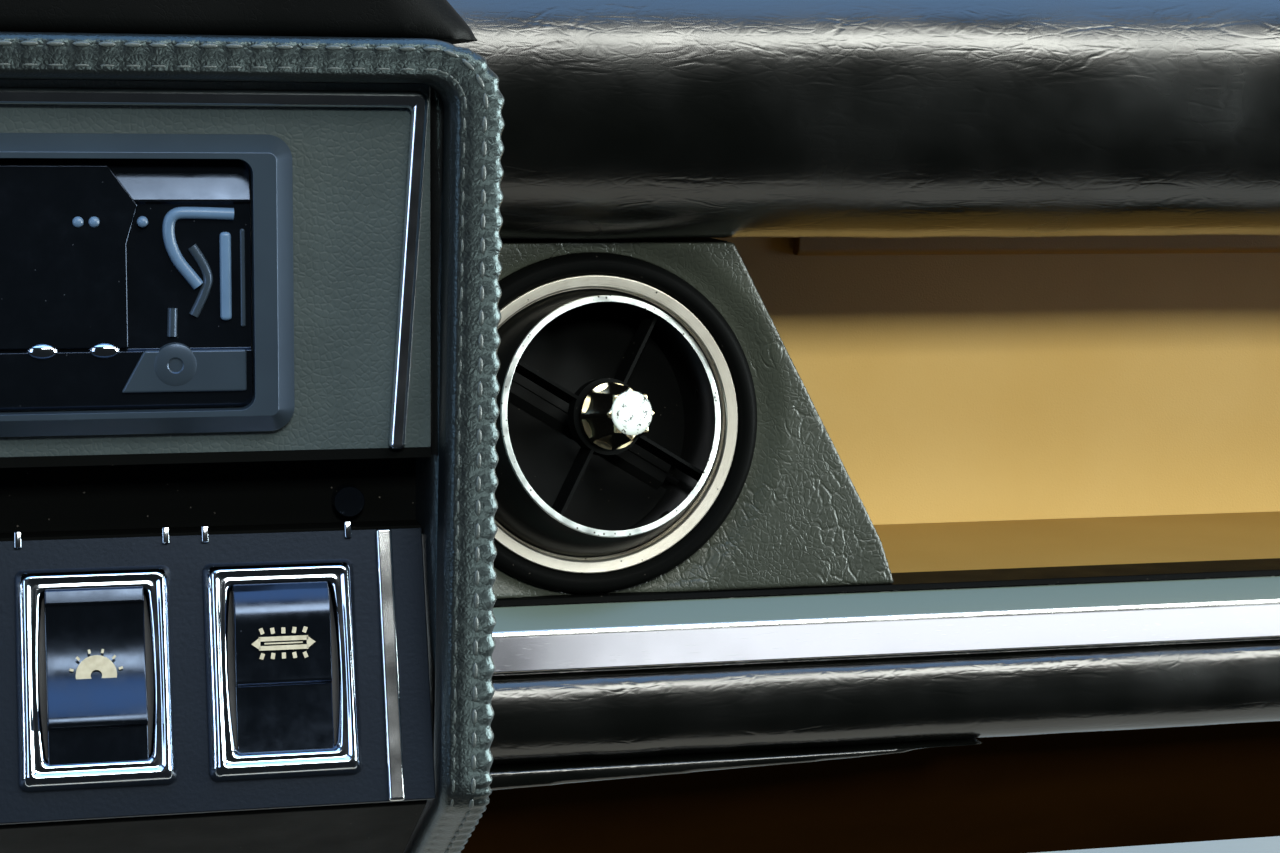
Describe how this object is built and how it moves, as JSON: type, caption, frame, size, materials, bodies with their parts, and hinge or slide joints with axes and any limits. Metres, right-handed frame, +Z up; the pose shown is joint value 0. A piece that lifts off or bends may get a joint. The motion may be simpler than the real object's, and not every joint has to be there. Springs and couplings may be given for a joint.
{
  "type": "dashboard section",
  "caption": "Middle section of a grand tourer's dashboard: a console with radio and rocker switches beside a fascia with a swivelling ball vent and an open parcel shelf.",
  "frame": {"origin": "centre of the bulkhead bracket's four-hole pattern, on the plate's front face that lies on the bulkhead", "axes": "+X to the passenger's side (left-hand drive), +Y forwards to the bulkhead, +Z up"},
  "size_m": [0.7725, 0.332, 0.3064],
  "materials": {
    "black_steel": "satin black paint on pressed steel",
    "black_vinyl": "black grained vinyl over foam, soft sheen",
    "console_leather": "black leather, sewn, with two seams",
    "tan_leather": "tan leather cloth over board, matt",
    "polished_aluminium": "polished, with fine scratches",
    "spun_aluminium": "spun and brushed, light wear",
    "black_plastic": "moulded, matt black",
    "knob_black": "moulded, glossy, worn lobes",
    "knob_white": "white enamel, flaked",
    "zinc_steel": "zinc-plated steel",
    "crackle_black": "black crackle paint",
    "chrome": "bright chrome plate",
    "gloss_black": "moulded gloss black"
  },
  "bodies": {
    "root": {"cross_beam": "black_steel", "bulkhead_bracket": "black_steel", "pillar_bracket": "black_steel", "top_carrier": "black_steel", "fascia_rail": "black_steel", "shelf_ribs": "black_steel", "console_base": "black_steel", "console_ties": "black_steel", "switch_bodies": "black_steel", "crash_roll": "black_vinyl", "console_hood": "black_vinyl", "vent_panel": "black_vinyl", "lower_roll": "black_vinyl", "under_pad": "black_vinyl", "vent_flange": "black_vinyl", "console_frame": "console_leather", "console_shell": "console_leather", "foot_panel": "console_leather", "shelf_back": "tan_leather", "shelf_rail": "tan_leather", "shelf_floor": "tan_leather", "shelf_top": "tan_leather", "end_cheek": "tan_leather", "closing_panel": "tan_leather", "finisher_strip": "polished_aluminium", "upper_trim": "polished_aluminium", "lower_trim": "polished_aluminium", "bezel_ring": "spun_aluminium", "edge_lip": "black_plastic", "vent_pod": "black_plastic", "vent_housing": "black_plastic", "duct_neck": "black_plastic", "radio_surround": "black_plastic", "step_panel": "black_plastic", "radio_chassis": "zinc_steel", "upper_panel": "crackle_black", "lower_panel": "crackle_black", "switch_bezels": "chrome", "panel_lamps": "chrome", "switch_rockers": "gloss_black", "radio_face": "gloss_black"},
    "vent_carrier": {"carrier_ring": "black_plastic"},
    "ball": {"ball_shell": "black_plastic", "ball_rim": "spun_aluminium", "vane_spider": "black_plastic", "flap_shaft": "zinc_steel"},
    "knob": {"knob": "knob_black", "knob_cap": "knob_white", "knob_spindle": "zinc_steel"},
    "flap_a": {"flap_a": "black_plastic"},
    "flap_b": {"flap_b": "black_plastic"}
  },
  "joints": [
    {"name": "vent_swivel", "type": "hinge", "parent": "root", "child": "vent_carrier", "pos_m": [0.192, -0.1482, 0], "axis": [0, 1, 0], "continuous": true},
    {"name": "ball_tilt", "type": "hinge", "parent": "vent_carrier", "child": "ball", "pos_m": [0.192, -0.1482, 0], "axis": [-0.6468, 0, 0.7627], "range_deg": [-37.57, 6.43]},
    {"name": "knob_turn", "type": "hinge", "parent": "ball", "child": "knob", "pos_m": [0.192, -0.1482, 0], "axis": [0.2048, -0.9633, 0.1736], "range_deg": [0, 180]},
    {"name": "flap_a_fold", "type": "hinge", "parent": "ball", "child": "flap_a", "pos_m": [0.19077, -0.14242, -0.00104], "axis": [-0.851, -0.0875, 0.5178], "range_deg": [-76, 0]},
    {"name": "flap_b_fold", "type": "hinge", "parent": "ball", "child": "flap_b", "pos_m": [0.19077, -0.14242, -0.00104], "axis": [-0.851, -0.0875, 0.5178], "range_deg": [0, 76]}
  ],
  "couplings": [
    {"joint": "flap_a_fold", "follows": "knob_turn", "ratio": -0.42222},
    {"joint": "flap_b_fold", "follows": "knob_turn", "ratio": 0.42222}
  ]
}
